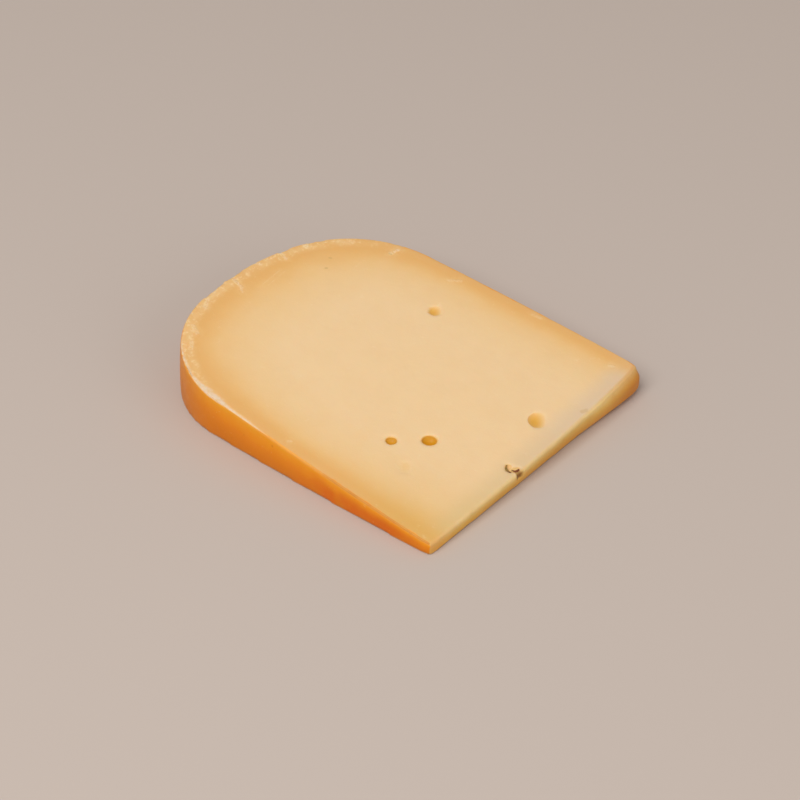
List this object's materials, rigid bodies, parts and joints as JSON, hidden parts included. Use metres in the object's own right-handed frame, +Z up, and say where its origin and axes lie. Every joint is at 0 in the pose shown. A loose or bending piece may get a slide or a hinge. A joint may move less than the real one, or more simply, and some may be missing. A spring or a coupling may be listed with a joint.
{
  "type": "gouda cheese wedge",
  "caption": "Thin radial wedge of gouda lying on a cut face: pale yellow paste with a few round eyes, orange rind round the rim and the two slightly domed sides, and a straight cut tip.",
  "frame": {"origin": "middle of the footprint, on the lower cut face that the wedge rests on", "axes": "+Z up; the rim of the rind points to -X and the cut tip to +X; Y runs along the axis of the wheel that the wedge was cut from"},
  "size_m": [0.1473, 0.1215, 0.0267],
  "materials": {
    "cheese": "satin, slightly oily cut paste with an orange rind"
  },
  "bodies": {
    "root": {"gouda_wedge": "cheese"}
  },
  "joints": []
}
